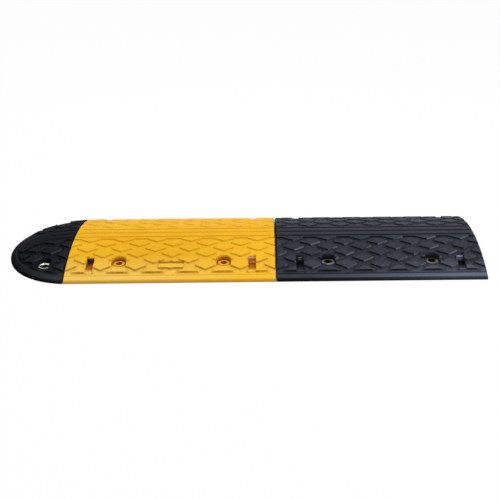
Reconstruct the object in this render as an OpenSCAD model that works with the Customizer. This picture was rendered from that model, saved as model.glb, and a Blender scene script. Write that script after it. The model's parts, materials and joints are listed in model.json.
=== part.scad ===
// Modular rubber speed bump: a half-round end cap, a yellow module and a black module.
// They lie end to end along X and lock together with moulded pegs in moulded sockets.
// Millimetres, +Z up. The origin is on the ground, in the middle of the whole assembly.
// Traffic crosses along Y. The slope that faces -Y is called the front here.

/* [Modules] */
// Length of one module along the bump
module_len = 497; // [440:1:600]
// Width of the bump across the road, toe to toe
bump_w = 350; // [330:1:420]
// Open joint left between neighbouring pieces
joint_gap = 3; // [1:0.5:4]

/* [Profile] */
// Height of the arched field at the crown, without the tread
field_h = 47; // [42:0.5:60]
// Height of the arched field at the toe edge, before the toe band drops
toe_h = 8; // [7:0.5:14]
// Width of the smooth band along each toe
toe_band = 14; // [10:0.5:20]
// Step down from the field to the toe band
toe_drop = 1; // [0.5:0.1:2]

/* [Tread] */
// Height of the raised lozenges above the field
tread_h = 3; // [1.5:0.1:4]
// Distance of the foot of the tread from the toe edge
tread_foot = 20.5; // [18:0.5:26]
// Smooth strip between the tread and the end of a module
tread_end = 1; // [0.5:0.5:6]
// Distance aimed at between lozenges along the bump
lozenge_pitch = 82; // [60:1:110]
// Distance aimed at between rows of lozenges up the slope
row_pitch = 21; // [16:0.5:30]
// Length of a lozenge along the bump
lozenge_len = 57; // [44:1:66]
// Width of a lozenge up the slope
lozenge_w = 29; // [22:0.5:33]

/* [Crown] */
// Width of the raised band along the crown
crown_w = 62; // [54:1:90]
// Distance between the grooves in the crown band
groove_pitch = 22.5; // [16:0.5:24]
// Number of grooves in the crown band
groove_n = 3; // [1:1:3]
// Width of a crown groove at the surface
groove_w = 7; // [4:0.5:10]
// Depth of a crown groove
groove_d = 2.5; // [1:0.1:2.8]

/* [Bolt pockets] */
// Distance between bolts along a module
bolt_dx = 250; // [220:1:270]
// Distance of a module's bolts from the toe edge
bolt_toe = 58; // [54:1:62]
// Diameter of the bolt holes
bolt_d = 13; // [9:0.5:14]
// Width of the pocket round a bolt head
pocket_w = 36; // [35:0.5:40]
// Depth of a module's pocket below the field, at the bolt
pocket_depth = 8.5; // [5:0.5:10]

/* [Washers] */
// Diameter of the steel washers in the black module
black_washer_d = 33; // [28:0.5:34]
// Diameter of the coated steel washers in the yellow module
yellow_washer_d = 27; // [24:0.5:34]
// Diameter of the dished steel washers in the end cap
cap_washer_d = 30; // [27:0.5:34]
// Hole in every washer
washer_hole_d = 15; // [14.5:0.5:18]
// Thickness of a washer
washer_t = 3; // [2:0.5:4]
// Depth of the seat that holds a washer
washer_seat = 1.5; // [1:0.5:2]
// Gap between the edge of a washer and its seat
washer_play = 0.2; // [0.1:0.05:0.3]
// Depth of the dish in an end cap washer
dish_depth = 2; // [0.5:0.5:2.5]

/* [Reflector notches] */
// Distance of a notch's middle from the end of the module
notch_end = 55.5; // [48:0.5:62]
// Width of a notch
notch_w = 19; // [17:0.5:22]
// Distance of a notch's rear wall from the toe edge
notch_toe = 71; // [63:0.5:73]
// Height of a reflector block
reflector_h = 14; // [10:0.5:15]
// Depth of a reflector block from front to rear
reflector_t = 6; // [4:0.5:10]
// Bevel along the top of a reflector's face
reflector_bevel = 3; // [1:0.5:3.5]
// Gap round a reflector block in its notch
reflector_play = 0.3; // [0.1:0.05:0.3]

/* [Centre pad] */
// Length of the level pad along the module
pad_len = 60; // [50:1:70]
// Width of the level pad up the slope
pad_w = 22; // [16:0.5:24]
// Diameter of the round middle of the pad
pad_disc_d = 26; // [25:0.5:32]
// Distance of the pad's middle from the toe edge
pad_toe = 43; // [39:0.5:46]

/* [Pegs and sockets] */
// Diameter of the locking pegs
peg_d = 18; // [14:0.5:20]
// Length of a locking peg
peg_len = 15; // [10:0.5:18]
// Height of the peg axis above the ground
peg_z = 16; // [14:0.5:18]
// Distance of the outer pegs from the middle of the bump
peg_y = 84; // [70:1:90]
// Gap round a peg in its socket
peg_play = 0.3; // [0.15:0.05:0.5]
// Chamfer on the tip of a peg
peg_chamfer = 2; // [1:0.5:3]

/* [Underside] */
// Height of the cores above the ground
core_h = 15; // [8:0.5:16]
// Solid rubber at each end of a module
end_wall = 28; // [24:1:34]
// Thickness of the ribs between the cores
rib_t = 9; // [6:0.5:14]
// Number of cores along a module
core_n = 7; // [4:1:9]
// Distance of the inner rows of cores from the toe edge
core_toe = 85; // [82:1:95]
// Length of each core in the outer rows
side_core_len = 52; // [30:1:56]
// Width of each core in the outer rows
side_core_w = 40; // [24:1:42]
// Distance between the two cores of an outer row, middle to middle
side_core_dx = 134; // [130:1:138]

/* [End cap] */
// Length of the end cap from its tip to its flat face
cap_len = 160; // [150:1:172]
// Distance of the cap bolts from the flat face
cap_bolt_x = 51; // [46:0.5:60]
// Distance of the cap bolts from the side edges of the bump
cap_bolt_toe = 61; // [59:1:68]
// Depth of a cap pocket below the field, at the bolt
cap_pocket_depth = 8.5; // [7:0.5:10]
// Radius of the hollow under the cap
cap_core_r = 88; // [70:1:92]
// Radius of the solid hub in that hollow
cap_hub_r = 34; // [30:1:40]

/* [Hidden] */
$fn = 96;
eps = 0.01;
half_w = bump_w / 2;
foot_y = half_w - tread_foot;
crown_y = crown_w / 2;
over = field_h + tread_h + 10;                 // height that clears every surface
// The arched field is a circle through both toe edges and the crown.
rise = field_h - toe_h;
field_r = (half_w * half_w + rise * rise) / (2 * rise);
field_cz = field_h - field_r;
function field_z(y) = field_cz + sqrt(field_r * field_r - y * y);

// Tread lattice: whole numbers of rows and columns fill the field.
rows = round((foot_y - crown_y) / row_pitch);
row_step = (foot_y - crown_y) / rows;
tread_len = module_len - 2 * tread_end;
cols = round(tread_len / lozenge_pitch);
col_step = tread_len / cols;

// Pieces along X
total_len = cap_len + 2 * module_len + 2 * joint_gap;
cap_face_x = cap_len - total_len / 2;
yellow_x = cap_face_x + joint_gap + module_len / 2;
black_x = yellow_x + module_len + joint_gap;

// Pockets, notches and pads
bolt_y = half_w - bolt_toe;
pocket_z = field_z(bolt_y) - pocket_depth;
notch_x = module_len / 2 - notch_end;
notch_rear = half_w - notch_toe;
notch_z = field_z(foot_y) - 0.3;
pad_y = half_w - pad_toe;
pad_z = field_z(pad_y);
core_reach = half_w - core_toe;

// The end cap is turned about an upright axis, through a circle that meets both toe corners.
cap_r = (half_w * half_w + cap_len * cap_len) / (2 * cap_len);
cap_axis_x = cap_face_x - cap_len + cap_r;
cap_bolt_y = half_w - cap_bolt_toe;
cap_bolt_dx = cap_axis_x - cap_face_x + cap_bolt_x;   // from the axis, towards the tip
cap_bolt_r = sqrt(cap_bolt_dx * cap_bolt_dx + cap_bolt_y * cap_bolt_y);
cap_bolt_a = atan2(cap_bolt_y, cap_bolt_dx);
cap_rise = field_h - toe_h;
cap_field_r = (cap_r * cap_r + cap_rise * cap_rise) / (2 * cap_rise);
cap_pocket_z = field_h - cap_field_r + sqrt(cap_field_r * cap_field_r - cap_bolt_r * cap_bolt_r)
    - cap_pocket_depth;

corners = [for (sy = [-1, 1], sx = [-1, 1]) [sx, sy]];
corner_names = ["front_left", "front_right", "rear_left", "rear_right"];

// ---- profiles ----

// Segment of the arch, raised by lift, over the half widths that reach to +-half.
module arch_2d(r, lift, half) {
    intersection() {
        translate([0, field_h - r]) circle(r = r + lift, $fn = 360);
        translate([-half, 0]) square([2 * half, over]);
    }
}

// Cross-section of the smooth body: toe bands, and the field between them.
module body_2d(r, half) {
    arch_2d(r, -toe_drop, half);
    arch_2d(r, 0, half - toe_band);
}

// Grooves along the crown, as circles that cut groove_d deep and groove_w wide.
module grooves_2d() {
    cut_r = (groove_w * groove_w / 4 + groove_d * groove_d) / (2 * groove_d);
    for (i = [0 : groove_n - 1]) {
        y = (i - (groove_n - 1) / 2) * groove_pitch;
        translate([y, field_z(y) + tread_h - groove_d + cut_r]) circle(r = cut_r, $fn = 48);
    }
}

// Extrudes a cross-section drawn in Y and Z along X, centred.
module along_x(len) {
    rotate([90, 0, 90]) linear_extrude(len, center = true) children();
}

// ---- tread ----

module lozenge_2d() {
    polygon([[lozenge_len / 2, 0], [0, lozenge_w / 2], [-lozenge_len / 2, 0], [0, -lozenge_w / 2]]);
}

// Lattice of lozenges on the front slope. Every other row is moved by half a step.
// A padded slope leaves out the lozenge that would lie on the pad.
module lattice_2d(n_cols, padded) {
    for (i = [0 : rows]) {
        odd = i % 2;
        y = -foot_y + i * row_step;
        for (j = [0 : n_cols - 1 + odd]) {
            x = (j - (n_cols - 1 + odd) / 2) * col_step;
            on_pad = padded && abs(x) < pad_len / 2 && abs(y + pad_y) < row_step / 2;
            if (!on_pad) translate([x, y]) lozenge_2d();
        }
    }
}

// Both slopes of lozenges, kept between the foot of the tread and the crown.
module slopes_2d(n_cols, len, padded) {
    for (s = [0, 1]) mirror([0, s]) intersection() {
        lattice_2d(n_cols, padded && s == 0);
        translate([-len / 2, -foot_y]) square([len, foot_y - crown_y + 1]);
    }
}

module tread(n_cols, len, padded) {
    intersection() {
        linear_extrude(over) union() {
            slopes_2d(n_cols, len, padded);
            square([len, crown_w], center = true);
        }
        difference() {
            along_x(len + 2) arch_2d(field_r, tread_h, foot_y + 1);
            along_x(len + 4) grooves_2d();
        }
    }
}

// ---- features shared by the pieces ----

// Pocket for a bolt head: round at the rear, open down the slope towards -Y.
module pocket(z, run) {
    translate([0, 0, z]) {
        cylinder(d = pocket_w, h = over);
        translate([-pocket_w / 2, -run, 0]) cube([pocket_w, run, over]);
    }
}

// Seat for a washer and the bolt hole under it.
module bolt_cut(z, washer_d) {
    translate([0, 0, z - washer_seat]) cylinder(d = washer_d + 2 * washer_play, h = over);
    translate([0, 0, -1]) cylinder(d = bolt_d, h = over);
}

module peg() {
    rotate([0, -90, 0]) rotate_extrude() polygon([
        [0, -1], [peg_d / 2, -1], [peg_d / 2, peg_len - peg_chamfer],
        [peg_d / 2 - peg_chamfer, peg_len], [0, peg_len]
    ]);
}

// Socket bored from a face at x = 0 towards -X. It leaves room at the tip of the peg.
module socket() {
    rotate([0, -90, 0]) translate([0, 0, -1])
        cylinder(d = peg_d + 2 * peg_play, h = peg_len - joint_gap + peg_play + 1);
}

module at_pegs() {
    for (y = [-peg_y, 0, peg_y]) translate([0, y, peg_z]) children();
}

// ---- module ----

module notch() {
    run = half_w;
    translate([-notch_w / 2, -notch_rear - run, notch_z]) cube([notch_w, run, over]);
}

module pad_2d() {
    translate([0, -pad_y]) {
        square([pad_len, pad_w], center = true);
        circle(d = pad_disc_d);
    }
}

// Levels the middle of the children's front slope: cut above the pad, filled below it.
module with_pad() {
    difference() {
        children();
        translate([0, 0, pad_z]) linear_extrude(over) pad_2d();
    }
    linear_extrude(pad_z) pad_2d();
}

// Two inner rows of cores, and two short outer rows clear of bolts, notches and pad.
module cores_2d() {
    span = module_len - 2 * end_wall;
    cell = (span - (core_n - 1) * rib_t) / core_n;
    row = (core_reach - 1.5 * rib_t) / 2;
    for (i = [0 : core_n - 1], s = [-1, 1], k = [0, 1])
        translate([-span / 2 + i * (cell + rib_t), s * (rib_t / 2 + row / 2 + k * (row + rib_t)) - row / 2])
            square([cell, row]);
    for (sx = [-1, 1], sy = [-1, 1])
        translate([sx * side_core_dx / 2, sy * (core_reach + rib_t + side_core_w / 2)])
            square([side_core_len, side_core_w], center = true);
}

module cores() {
    translate([0, 0, -1]) linear_extrude(core_h + 1) cores_2d();
}

// A whole module body, centred on X, with pegs on its left end and sockets in its right end.
module module_body(washer_d, padded) {
    difference() {
        union() {
            along_x(module_len) body_2d(field_r, half_w);
            tread(cols, tread_len, padded);
            translate([-module_len / 2, 0, 0]) at_pegs() peg();
        }
        for (s = [0, 1]) mirror([0, s]) {
            for (x = [-notch_x, notch_x]) translate([x, 0, 0]) notch();
            for (x = [-bolt_dx / 2, bolt_dx / 2]) translate([x, -bolt_y, 0]) {
                pocket(pocket_z, bolt_y);
                bolt_cut(pocket_z, washer_d);
            }
        }
        translate([module_len / 2, 0, 0]) at_pegs() socket();
        cores();
    }
}

module flat_washer(washer_d) {
    difference() {
        cylinder(d = washer_d, h = washer_t);
        translate([0, 0, -1]) cylinder(d = washer_hole_d, h = washer_t + 2);
    }
}

// Corner k of a module: a washer on its seat.
module washer_at(x, washer_d, k) {
    translate([x + corners[k][0] * bolt_dx / 2, corners[k][1] * bolt_y, pocket_z - washer_seat])
        flat_washer(washer_d);
}

// Reflector block, its rear face on y = 0 and its lit face towards -Y.
module reflector() {
    len = notch_w - 2 * reflector_play;
    rotate([90, 0, 90]) linear_extrude(len, center = true) polygon([
        [0, 0], [0, reflector_h], [reflector_bevel - reflector_t, reflector_h],
        [-reflector_t, reflector_h - reflector_bevel], [-reflector_t, 0]
    ]);
}

// Corner k of a module: a reflector against the rear wall of its notch.
module reflector_at(x, k) {
    sy = corners[k][1];
    translate([x + corners[k][0] * notch_x, 0, notch_z]) mirror([0, (1 + sy) / 2, 0])
        translate([0, -notch_rear, 0]) reflector();
}

// ---- end cap ----

// Turns a cross-section about the cap's upright axis and keeps the part left of the flat face.
module cap_turn() {
    intersection() {
        translate([cap_axis_x, 0, 0]) rotate_extrude($fn = 180) intersection() {
            children();
            square([cap_r, over]);
        }
        translate([cap_face_x - 2 * cap_r, -cap_r, 0]) cube([2 * cap_r, 2 * cap_r, over]);
    }
}

// The modules' lattice, carried on across the cap up to the foot of its tread.
module cap_tread() {
    n = 2 * ceil(cap_len / col_step);
    intersection() {
        linear_extrude(over) intersection() {
            translate([cap_face_x - tread_end, 0]) union() {
                slopes_2d(n, 2 * cap_len, false);
                square([2 * cap_len, crown_w], center = true);
            }
            translate([cap_axis_x, 0]) circle(r = cap_r - tread_foot);
            translate([cap_face_x - tread_end - cap_len, -half_w]) square([cap_len, bump_w]);
        }
        difference() {
            cap_turn() arch_2d(cap_field_r, tread_h, cap_r);
            translate([cap_face_x, 0, 0]) along_x(2 * cap_len) grooves_2d();
        }
    }
}

// Places children at a cap bolt, with -Y of the child turned outwards. side: -1 front, 1 rear.
module at_cap_bolt(side) {
    translate([cap_axis_x - cap_bolt_dx, side * cap_bolt_y, 0])
        rotate([0, 0, -90 - side * cap_bolt_a]) children();
}

// Hollow under the cap, with a hub and ribs between its cells.
module cap_core() {
    translate([0, 0, -1]) linear_extrude(core_h + 1) difference() {
        translate([cap_axis_x, 0]) circle(r = cap_core_r);
        translate([cap_axis_x, 0]) circle(r = cap_hub_r);
        for (a = [-60 : 30 : 60]) translate([cap_axis_x, 0]) rotate([0, 0, 180 + a])
            translate([0, -rib_t / 2]) square([cap_r, rib_t]);
        translate([cap_face_x - end_wall, -half_w]) square([2 * end_wall, bump_w]);
    }
}

module end_cap() {
    color("#202124") difference() {
        union() {
            cap_turn() body_2d(cap_field_r, cap_r);
            cap_tread();
        }
        for (side = [-1, 1]) at_cap_bolt(side) {
            pocket(cap_pocket_z, half_w);
            bolt_cut(cap_pocket_z, cap_washer_d);
        }
        translate([cap_face_x, 0, 0]) at_pegs() socket();
        cap_core();
    }
}

// Steel washer with a dished top.
module cap_washer(side) {
    color("gainsboro") at_cap_bolt(side) translate([0, 0, cap_pocket_z - washer_seat]) difference() {
        cylinder(d = cap_washer_d, h = washer_t);
        translate([0, 0, -1]) cylinder(d = washer_hole_d, h = washer_t + 2);
        translate([0, 0, washer_t - dish_depth])
            cylinder(d1 = washer_hole_d - eps, d2 = cap_washer_d - 3, h = dish_depth + eps);
    }
}

// ---- modules and their fittings ----

module yellow_module() {
    color("#f3ba30") translate([yellow_x, 0, 0]) with_pad() module_body(yellow_washer_d, true);
}

module black_module() {
    color("#34373f") translate([black_x, 0, 0]) module_body(black_washer_d, false);
}

module yellow_washer(k) {
    color("#e8a944") washer_at(yellow_x, yellow_washer_d, k);
}

module black_washer(k) {
    color("#85827f") washer_at(black_x, black_washer_d, k);
}

module yellow_reflector(k) {
    color("#a88a7c") reflector_at(yellow_x, k);
}

module black_reflector(k) {
    color("#8f93b0") reflector_at(black_x, k);
}

end_cap();
yellow_module();
black_module();
cap_washer(-1);  // cap_washer_front
cap_washer(1);  // cap_washer_rear
for (k = [0 : 3]) {
    yellow_washer(k);
    black_washer(k);
    yellow_reflector(k);
    black_reflector(k);
}
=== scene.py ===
import json
from math import acos, asin, atan2, ceil, copysign, cos, dist, hypot, pi, radians, sin, sqrt

import bmesh
import bpy
import numpy as np
from mathutils import Matrix, Vector
from mathutils.geometry import delaunay_2d_cdt


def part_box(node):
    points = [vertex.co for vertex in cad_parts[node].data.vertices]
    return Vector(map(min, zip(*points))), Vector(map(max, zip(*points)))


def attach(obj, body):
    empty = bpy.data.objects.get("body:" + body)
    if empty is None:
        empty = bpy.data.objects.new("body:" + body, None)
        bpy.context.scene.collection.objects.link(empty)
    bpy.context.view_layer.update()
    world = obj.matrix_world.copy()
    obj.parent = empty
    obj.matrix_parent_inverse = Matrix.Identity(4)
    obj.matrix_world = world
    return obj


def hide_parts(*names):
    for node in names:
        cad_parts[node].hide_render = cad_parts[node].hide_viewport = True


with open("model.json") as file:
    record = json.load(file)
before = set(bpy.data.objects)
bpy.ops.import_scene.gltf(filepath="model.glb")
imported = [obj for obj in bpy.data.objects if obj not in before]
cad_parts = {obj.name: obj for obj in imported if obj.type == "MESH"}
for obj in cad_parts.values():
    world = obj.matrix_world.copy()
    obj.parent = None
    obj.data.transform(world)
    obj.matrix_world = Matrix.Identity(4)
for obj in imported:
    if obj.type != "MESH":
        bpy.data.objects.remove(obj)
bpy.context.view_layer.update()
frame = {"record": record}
mounts = {m["name"]: m for m in frame["record"]["mounts"]}

# ---- sizes in millimetres, as the construction has them ----

MM = 0.001
BUMP_W = 350.0          # toe to toe
HALF_W = BUMP_W / 2
FIELD_H = 47.0          # arched field at the crown
TOE_H = 8.0             # arched field at the toe edge
TOE_BAND = 14.0
TOE_DROP = 1.0
TREAD_H = 3.0
TREAD_FOOT = 20.5
TREAD_END = 1.0
LOZENGE_PITCH = 82.0
ROW_PITCH = 21.0
LOZENGE_LEN = 57.0
LOZENGE_W = 29.0
CROWN_W = 62.0
GROOVE_PITCH = 22.5
GROOVES = (-GROOVE_PITCH, 0.0, GROOVE_PITCH)
GROOVE_W = 7.0
GROOVE_D = 2.5
POCKET_W = 36.0
POCKET_DEPTH = 8.5
CAP_POCKET_DEPTH = 8.5
CAP_WASHER_D = 30.0
YELLOW_WASHER_D = 27.0
BLACK_WASHER_D = 33.0
WASHER_HOLE_D = 15.0
WASHER_SEAT = 1.5
WASHER_PLAY = 0.2
NOTCH_END = 55.5
NOTCH_W = 19.0
NOTCH_TOE = 71.0
NOTCH_SUNK = 0.3        # floor of a notch below the field at the foot of the tread
PAD_LEN = 60.0
PAD_W = 22.0
PAD_DISC_D = 26.0
PAD_TOE = 43.0
PEG_R = 9.0
PEG_LEN = 15.0
PEG_Z = 16.0
PEGS_Y = (-84.0, 0.0, 84.0)
PEG_CHAMFER = 2.0
CORE_H = 15.0
END_WALL = 28.0
RIB_T = 9.0
CORE_N = 7
CORE_TOE = 85.0
SIDE_CORE_LEN = 52.0
SIDE_CORE_W = 40.0
SIDE_CORE_DX = 134.0
CAP_CORE_R = 88.0
CAP_HUB_R = 34.0
CAP_RIBS = [radians(a) for a in (120, 150, 180, 210, 240)]

# ---- softness that the moulding has and the construction leaves out, in millimetres ----

TREAD_SOFT = 1.0        # half the run of a lozenge's wall
TREAD_ROUND = 3.0       # corners of a lozenge in plan
RIM_ROUND = 2.0         # outer edge of a piece
FOOT_ROUND = 0.8        # lower edge of a piece
WALL_RUN = 1.1          # draft of a pocket's wall
CORE_RUN = 1.5          # draft of a core's wall
CORE_CORNER = 4.0
NOTCH_CORNER = 1.2
TOE_SOFT = 0.5
PAD_SOFT = 0.6
PAD_CLEAR = 5.0         # less than the channel between two lozenges
SEAT_SOFT = 0.1
SOCKET_LEAD = 0.6
WASHER_EDGE = 0.35
CAP_DISH = 2.0          # how far the end cap's washers are dished
REFLECTOR_PLAY = 0.15
REFLECTOR_EDGE = 0.35
REFLECTOR_BEVEL = 3.0
LENS_RIM = 1.3
LENS_DEEP = 0.7
PRISM = 1.7             # pitch of the lens's prisms
PRISM_H = 0.75          # their height, as a share of LENS_DEEP
FRAME_AREA = 30         # square millimetres: less than a framed face of a reflector
LENS_AREA = 12          # and less than what is left of it inside the frame
GLINT_AT = (0.1, 0.76)  # aside and up a reflector, as shares of its half width and height
GLINT_R = 2.8
# section of a dished washer: its edge as (in from the rim, up), and its foot as (out from the bore, up)
DISH_EDGE = ((1.5, 0.0), (1.9, -0.12))
DISH_FOOT = ((0.7, 0.12), (0.2, -0.05), (0.0, -0.35))

# ---- where the meshes have contours, as shares of the run that they follow ----

WALL_STEPS = (0.0, 0.2, 0.45, 0.7, 1.0)
RIM_STEPS = (0.0, 0.08, 0.3, 0.6, 1.0)
FOOT_STEPS = (0.0, 0.3, 1.0)
CORE_STEPS = (0.0, 0.25, 0.5, 0.75, 1.0)
TOE_STEPS = (-3.5, -1, 0, 1, 3.5)
GROOVE_STEPS = (-1, -0.75, -0.4, 0, 0.4, 0.75, 1)
TREAD_STEPS = (-2.3, -1, -0.62, -0.22, 0.22, 0.62, 1, 2.3)
PAD_STEPS = (-1, -0.3, 0.3, 1)

FIELD_PITCH = 9.0       # distances between mesh points, in millimetres
LONG_PITCH = 12.0
WALL_PITCH = 8.0
EDGE_PITCH = 7.0
FINE_PITCH = 6.0
RIM_PITCH = 5.0
CLEAR = 1.0             # least distance from a contour to a point of the field
ROUND_N = 40            # points round a hole, a peg or the pad's disc
BACK_N = 28             # and round the back of a pocket
CELL_N = 12             # and along an arc of a core under the end cap
CORNER_N = 4            # and round a corner
CUTS_N = 91             # straight cuts that end the cap's tread at its foot
OVERLAP = 0.1           # radians that the cap's outer cores run on past its face, before they are cut off
HOLE_FLAT = cos(pi / ROUND_N) - 0.002  # inside a hole's polygon, as a share of its radius
SEAT_N = 56
WASHER_N = 72
ON_EDGE = 0.01          # how near a point is to the edge that it lies on
FAR = 1e3               # more than any distance here
SHARP = radians(38)     # edges that turn by more than this are shaded as sharp
MEET = 1e-4             # points of contours that are this near each other are one
WELD = 3e-6             # metres: points of a shell that are this near each other are joined

# places that the materials know, in millimetres
SUNK = (0.6, 9.0)       # depth past TOE_DROP where the painted shade of a sunk place starts, and on to its darkest
LOW = (75.0, 50.0)      # distance from the toe edge where the low tread starts, and over which it grows
STEP = 0.8              # half the step over which the fall of the tread is taken


def node_span(name):
    """Low and high corners of a node in millimetres."""
    low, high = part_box(name)
    return np.array(low) / MM, np.array(high) / MM


def ends_along(name):
    """Where a node starts and ends along X, in millimetres."""
    return [float(corner[0]) for corner in node_span(name)]


CAP_TIP, CAP_FACE = ends_along("end_cap")
YELLOW_START, YELLOW_END = ends_along("yellow_module")
BLACK_END = ends_along("black_module")[1]
CAP_LEN = CAP_FACE - CAP_TIP
MODULE_LEN = YELLOW_END - YELLOW_START - PEG_LEN
HALF_LEN = MODULE_LEN / 2
YELLOW_X = YELLOW_END - HALF_LEN
BLACK_X = BLACK_END - HALF_LEN
TREAD_HALF = HALF_LEN - TREAD_END
COLS = round(2 * TREAD_HALF / LOZENGE_PITCH)
COL_STEP = 2 * TREAD_HALF / COLS
FOOT_Y = HALF_W - TREAD_FOOT
CROWN_Y = CROWN_W / 2
ROWS = round((FOOT_Y - CROWN_Y) / ROW_PITCH)
ROW_STEP = (FOOT_Y - CROWN_Y) / ROWS
RISE = FIELD_H - TOE_H
CAP_R = (HALF_W ** 2 + CAP_LEN ** 2) / (2 * CAP_LEN)
CAP_AXIS = CAP_FACE - CAP_LEN + CAP_R
# the cap's grooves fade by FADE_HALF before and after FADE_AT, and their contours end at GROOVE_END
FADE_AT, FADE_HALF, GROOVE_END = CAP_LEN / 3, CAP_LEN / 5, 0.8 * CAP_LEN

bolt_dims = mounts["yellow_bolts"]["dims"]
BOLT_X = bolt_dims["spacing_x_mm"] / 2
BOLT_Y = bolt_dims["spacing_y_mm"] / 2
BOLT_R = bolt_dims["hole_r_mm"]
CAP_BOLT_X = mounts["cap_bolts"]["pos_m"][0] / MM
CAP_BOLT_Y = mounts["cap_bolts"]["dims"]["spacing_y_mm"] / 2
CAP_BOLT_R = hypot(CAP_BOLT_X - CAP_AXIS, CAP_BOLT_Y)
socket_dims = mounts["free_end_socket_middle"]["dims"]
SOCKET_R = socket_dims["r_mm"]
SOCKET_LEN = socket_dims["length_mm"]

# profiles along X, as (distance from the end wall, radius)
PEG_PROFILE = [(0, PEG_R), (PEG_CHAMFER - PEG_LEN, PEG_R),
               (0.15 * PEG_CHAMFER - PEG_LEN, PEG_R - 0.65 * PEG_CHAMFER), (-PEG_LEN, PEG_R - PEG_CHAMFER)]
SOCKET_PROFILE = [(0, SOCKET_R + SOCKET_LEAD), (-SOCKET_LEAD, SOCKET_R), (-SOCKET_LEN, SOCKET_R)]
GROOVE_LINES = [y + GROOVE_W / 2 * f for y in GROOVES for f in GROOVE_STEPS]


# ---- heights ----

def arc_radius(half):
    return (half * half + RISE * RISE) / (2 * RISE)


def arc(y, half, lift=0.0):
    """Height of the arched field at y, raised by lift along its own radius."""
    r = arc_radius(half)
    return FIELD_H - r + np.sqrt(np.maximum((r + lift) ** 2 - y * y, 0.0))


def reach(z, half, lift):
    """How far downhill the arch, raised by lift, is still above z."""
    r = arc_radius(half)
    return sqrt((r + lift) ** 2 - (z - FIELD_H + r) ** 2)


POCKET_Z = float(arc(BOLT_Y, HALF_W)) - POCKET_DEPTH
CAP_POCKET_Z = float(arc(CAP_BOLT_R, CAP_R)) - CAP_POCKET_DEPTH
NOTCH_X = HALF_LEN - NOTCH_END
NOTCH_Y = HALF_W - NOTCH_TOE
NOTCH_Z = float(arc(FOOT_Y, HALF_W)) - NOTCH_SUNK
PAD_Y = HALF_W - PAD_TOE
PAD_Z = float(arc(PAD_Y, HALF_W))
# the pad stands in place of one lozenge of this row
PAD_ROW_Y = FOOT_Y - round((FOOT_Y - PAD_Y) / ROW_STEP) * ROW_STEP


def inside(d, soft):
    """1 where d is below -soft, 0 where it is above soft, with round shoulders between."""
    t = np.clip((soft - d) / (2 * soft), 0.0, 1.0)
    return t * t * (3 - 2 * t)


def rounding(inward, r):
    """How far a rounded edge falls, at a distance inward from it."""
    t = np.clip(r - inward, 0, r)
    return r - np.sqrt(r * r - t * t)


def sink(z, floor, d):
    """Lowers z to a floor where d is negative, with drafted walls."""
    return z - np.maximum(z - floor, 0) * inside(d + WALL_RUN / 2, WALL_RUN / 2)


# ---- plan distances in millimetres, negative inside ----

def lozenge_core():
    """Half diagonals of the sharp lozenge that TREAD_ROUND is laid round."""
    a, b = LOZENGE_LEN / 2, LOZENGE_W / 2
    shrink = 1 - TREAD_ROUND * hypot(a, b) / (a * b)
    return a * shrink, b * shrink


def lozenge_distance(dx, dy):
    """Distance to a lozenge with rounded corners."""
    a, b = lozenge_core()
    px, py = np.abs(dx), np.abs(dy)
    h = np.clip((a * a - b * b - 2 * (px * a - py * b)) / (a * a + b * b), -1, 1)
    d = np.hypot(px - a * (1 - h) / 2, py - b * (1 + h) / 2)
    return d * np.sign(px * b + py * a - a * b) - TREAD_ROUND


def lattice_distance(x, y):
    """Distance to the nearest lozenge of the lattice, for x from the middle of an even row."""
    up = (FOOT_Y - np.abs(y)) / ROW_STEP
    best = np.full(np.shape(x), FAR)
    for parity in (0, 1):
        row = np.clip(2 * np.round((up - parity) / 2) + parity, 0, ROWS)
        shift = np.where(row % 2 == 0, 0.5, 0.0)
        col = np.round(x / COL_STEP - shift) + shift
        d = lozenge_distance(x - col * COL_STEP, np.abs(y) - FOOT_Y + row * ROW_STEP)
        best = np.minimum(best, d)
    return best


def box_distance(x, y, half_x, half_y, corner=0.0):
    qx, qy = np.abs(x) - half_x + corner, np.abs(y) - half_y + corner
    return np.hypot(np.maximum(qx, 0), np.maximum(qy, 0)) + np.minimum(np.maximum(qx, qy), 0) - corner


def pocket_distance(across, out):
    """A bolt pocket: round behind the bolt and open in the outward direction."""
    return np.where(out < 0, np.hypot(across, out), np.abs(across)) - POCKET_W / 2


def notch_distance(across, out):
    """A straight slot, open outwards from its rear wall at out = 0."""
    return box_distance(across, out - HALF_W, NOTCH_W / 2, HALF_W, NOTCH_CORNER)


class Spot:
    """A place in plan, with the direction that faces out of the bump there."""

    def __init__(self, x, y, out):
        self.at = np.array([x, y])
        self.out = np.array(out) / hypot(*out)
        self.across = np.array([self.out[1], -self.out[0]])

    def local(self, x, y):
        dx, dy = x - self.at[0], y - self.at[1]
        return dx * self.across[0] + dy * self.across[1], dx * self.out[0] + dy * self.out[1]

    def place(self, loop):
        return self.at + np.outer(loop[:, 0], self.across) + np.outer(loop[:, 1], self.out)


def nearest(spots, distance, x, y):
    """Smallest distance over several spots."""
    far = np.full(np.shape(x), FAR)
    return np.minimum.reduce([far] + [distance(*spot.local(x, y)) for spot in spots])


# ---- plan curves ----

def ring(r, n, middle=(0.0, 0.0), first=0.0, last=2 * pi):
    """n points round a circle, or n + 1 along a part of it."""
    whole = abs(last - first) > 2 * pi - 1e-6
    a = np.linspace(first, last, n + 1)[:n if whole else None]
    return np.column_stack((middle[0] + r * np.cos(a), middle[1] + r * np.sin(a)))


def straight(p, q, pitch):
    """Evenly spaced points from p to q."""
    p, q = np.array(p), np.array(q)
    n = max(1, ceil(dist(p, q) / pitch))
    return np.array([p + (q - p) * i / n for i in range(n)] + [q])


def resample(loop, pitch):
    """Adds evenly spaced points along the long sides of a loop."""
    return np.vstack([straight(p, q, pitch)[:-1] for p, q in zip(loop, np.roll(loop, -1, axis=0))])


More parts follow.
